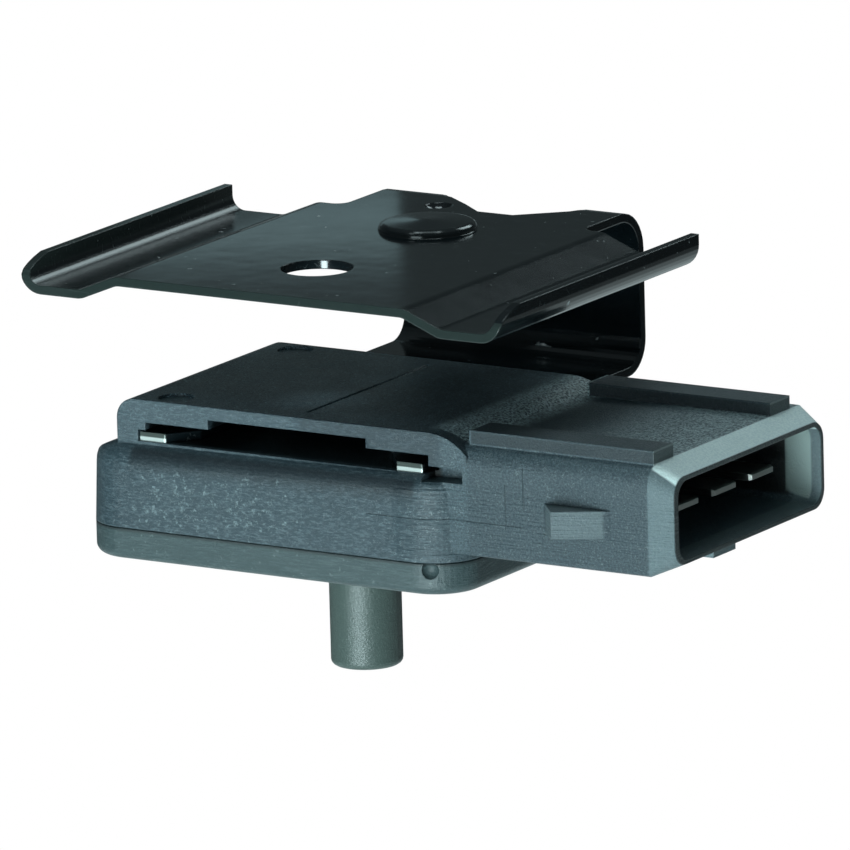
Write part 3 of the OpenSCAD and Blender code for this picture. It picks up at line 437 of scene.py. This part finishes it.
rough = reckon(tree, "MAXIMUM", rough, reckon(tree, "MULTIPLY", reckon(
    tree, "MAXIMUM", dust, glint), 0.7))
tree.links.new(rough, shader.inputs["Roughness"])
bumped(tree, shader, reckon(tree, "ADD", coat["Height"], reckon(
    tree, "MULTIPLY", powder["Height"], 0.03)), 0.012, 0.16)
dress(coated_steel, "bracket")


# Terminals. Three flat blades of brass strip, stamped and plated with bright tin.
tinned_brass, tree, place, axes, shader = started("tinned_brass")
drawn = put(tree, "TexNoise", {"Vector": put(tree, "Mapping", {
    "Vector": place, "Scale": (0.4, 9.0, 9.0)}).outputs[0], "Scale": 1.0, "Detail": 4.0})
body = blended(tree, drawn.outputs[0], (0.3, 0.31, 0.29), (0.6, 0.6, 0.57))
tree.links.new(body, shader.inputs["Base Color"])
shader.inputs["Metallic"].default_value = 1.0
tree.links.new(reckon(tree, "ADD", 0.22, reckon(tree, "MULTIPLY", drawn.outputs[0], 0.2)),
               shader.inputs["Roughness"])
bumped(tree, shader, drawn.outputs[0], 0.01, 0.08)
dress(tinned_brass, "terminal_1", "terminal_2", "terminal_3")


# Circuit ceramic. A plate of white alumina, fired with thick-film tracks, glued under the pan's
# roof by a bead of adhesive.
alumina, tree, place, axes, shader = started("alumina")
fired = placed(tree, skin, {"Place": place, "Grain": 6.0, "Speck Scale": 3.0, "Speck Share": 0.12,
                            "Speck Size": 0.2})
body = blended(tree, fired["Clouds"], (0.62, 0.6, 0.54), (0.74, 0.72, 0.66))
tracks = put(tree, "TexBrick", {"Vector": put(tree, "Mapping", {
    "Vector": place, "Rotation": (0, 0, 0)}).outputs[0], "Scale": 1.0, "Mortar Size": 0.06,
    "Brick Width": 6.0, "Row Height": 2.4, "Color1": (0, 0, 0, 1), "Color2": (0, 0, 0, 1),
    "Mortar": (1, 1, 1, 1)})
body = blended(tree, reckon(tree, "MULTIPLY", tracks.outputs["Fac"], 0.8), body, (0.42, 0.4, 0.36))
tree.links.new(body, shader.inputs["Base Color"])
shader.inputs["Roughness"].default_value = 0.55
bumped(tree, shader, fired["Height"], 0.01, 0.05)
dress(alumina, "circuit_ceramic")


def dull_material(name, first, second, rough, depth):
    """A plain material of two near tones with its own fine skin."""
    material, tree, place, axes, shader = started(name)
    tone = placed(tree, skin, {"Place": place, "Grain": 6.0, "Speck Scale": 3.0, "Speck Share": 0.15,
                               "Speck Size": 0.2})
    body = blended(tree, tone["Clouds"], first, second)
    tree.links.new(blended(tree, reckon(tree, "MULTIPLY", tone["Specks"], 0.15), body, second),
                   shader.inputs["Base Color"])
    tree.links.new(reckon(tree, "ADD", rough - 0.05, reckon(tree, "MULTIPLY", tone["Clouds"], 0.1)),
                   shader.inputs["Roughness"])
    bumped(tree, shader, tone["Height"], depth, 0.05)
    return material, tree, place, axes, shader, body


silicone = dull_material("silicone", (0.5, 0.47, 0.4), (0.58, 0.55, 0.48), 0.45, 0.03)[0]
dress(silicone, "ceramic_adhesive")


# Pressure cell. A silicon die with a thin diaphragm is bonded to a pedestal of borosilicate glass
# on the ceramic. A ring of plastic round it holds a soft clear gel.
silicon, tree, place, axes, shader, body = dull_material(
    "silicon", (0.09, 0.1, 0.13), (0.14, 0.15, 0.19), 0.15, 0.004)
shader.inputs["Metallic"].default_value = 0.6
dress(silicon, "sensor_die")
borosilicate, tree, place, axes, shader, body = dull_material(
    "borosilicate", (0.6, 0.74, 0.72), (0.68, 0.8, 0.78), 0.1, 0.003)
shader.inputs["Transmission Weight"].default_value = 0.6
shader.inputs["IOR"].default_value = 1.47
dress(borosilicate, "glass_pedestal")
ring_plastic = dull_material("ring_plastic", (0.03, 0.032, 0.033), (0.05, 0.052, 0.054), 0.5, 0.02)[0]
dress(ring_plastic, "gel_ring")
gel, tree, place, axes, shader, body = dull_material(
    "gel", (0.72, 0.76, 0.8), (0.8, 0.84, 0.86), 0.08, 0.01)
shader.inputs["Transmission Weight"].default_value = 0.8
shader.inputs["IOR"].default_value = 1.41
dress(gel, "protective_gel")


# Seals. A soft ring between the port's boss and the gel ring, and a bead of sealant round the
# cover's rim.
seal_rubber = dull_material("seal_rubber", (0.016, 0.016, 0.017), (0.03, 0.03, 0.031), 0.6, 0.02)[0]
dress(seal_rubber, "port_seal")
sealant = dull_material("sealant", (0.07, 0.07, 0.062), (0.1, 0.1, 0.09), 0.5, 0.03)[0]
dress(sealant, "cover_seal")


# Small components. An amplifier chip in black resin, ceramic capacitors with tinned ends and
# trimmed film resistors, soldered to the underside of the ceramic.
chip_resin = dull_material("chip_resin", (0.018, 0.018, 0.02), (0.03, 0.03, 0.032), 0.55, 0.02)[0]
dress(chip_resin, "amplifier_chip")


def ended_material(name, middle, end, node, share):
    """A component's body with tinned ends, by its own place along X."""
    material, tree, place, axes, shader, body = dull_material(name, middle, [1.15 * c for c in middle],
                                                              0.35, 0.01)
    low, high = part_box(node)
    near, far = low[0] * 1000 + share, high[0] * 1000 - share
    ends = reckon(tree, "SUBTRACT", 1.0, inside(tree, axes, [("X", near, far)], 0.04))
    tree.links.new(blended(tree, ends, body, end), shader.inputs["Base Color"])
    tree.links.new(ends, shader.inputs["Metallic"])
    return material


for number in (1, 2, 3):
    node = "capacitor_%d" % number
    dress(ended_material(node + "_ceramic", (0.36, 0.25, 0.15), (0.62, 0.62, 0.6), node, 0.5), node)
for number in (1, 2):
    node = "trim_resistor_%d" % number
    dress(ended_material(node + "_film", (0.02, 0.02, 0.022), (0.62, 0.62, 0.6), node, 0.35), node)


# Links. Bonded strips of tinned copper between the terminals and the ceramic.
link_metal, tree, place, axes, shader, body = dull_material(
    "link_metal", (0.56, 0.55, 0.52), (0.66, 0.65, 0.62), 0.3, 0.01)
shader.inputs["Metallic"].default_value = 1.0
dress(link_metal, "link_1", "link_2", "link_3")
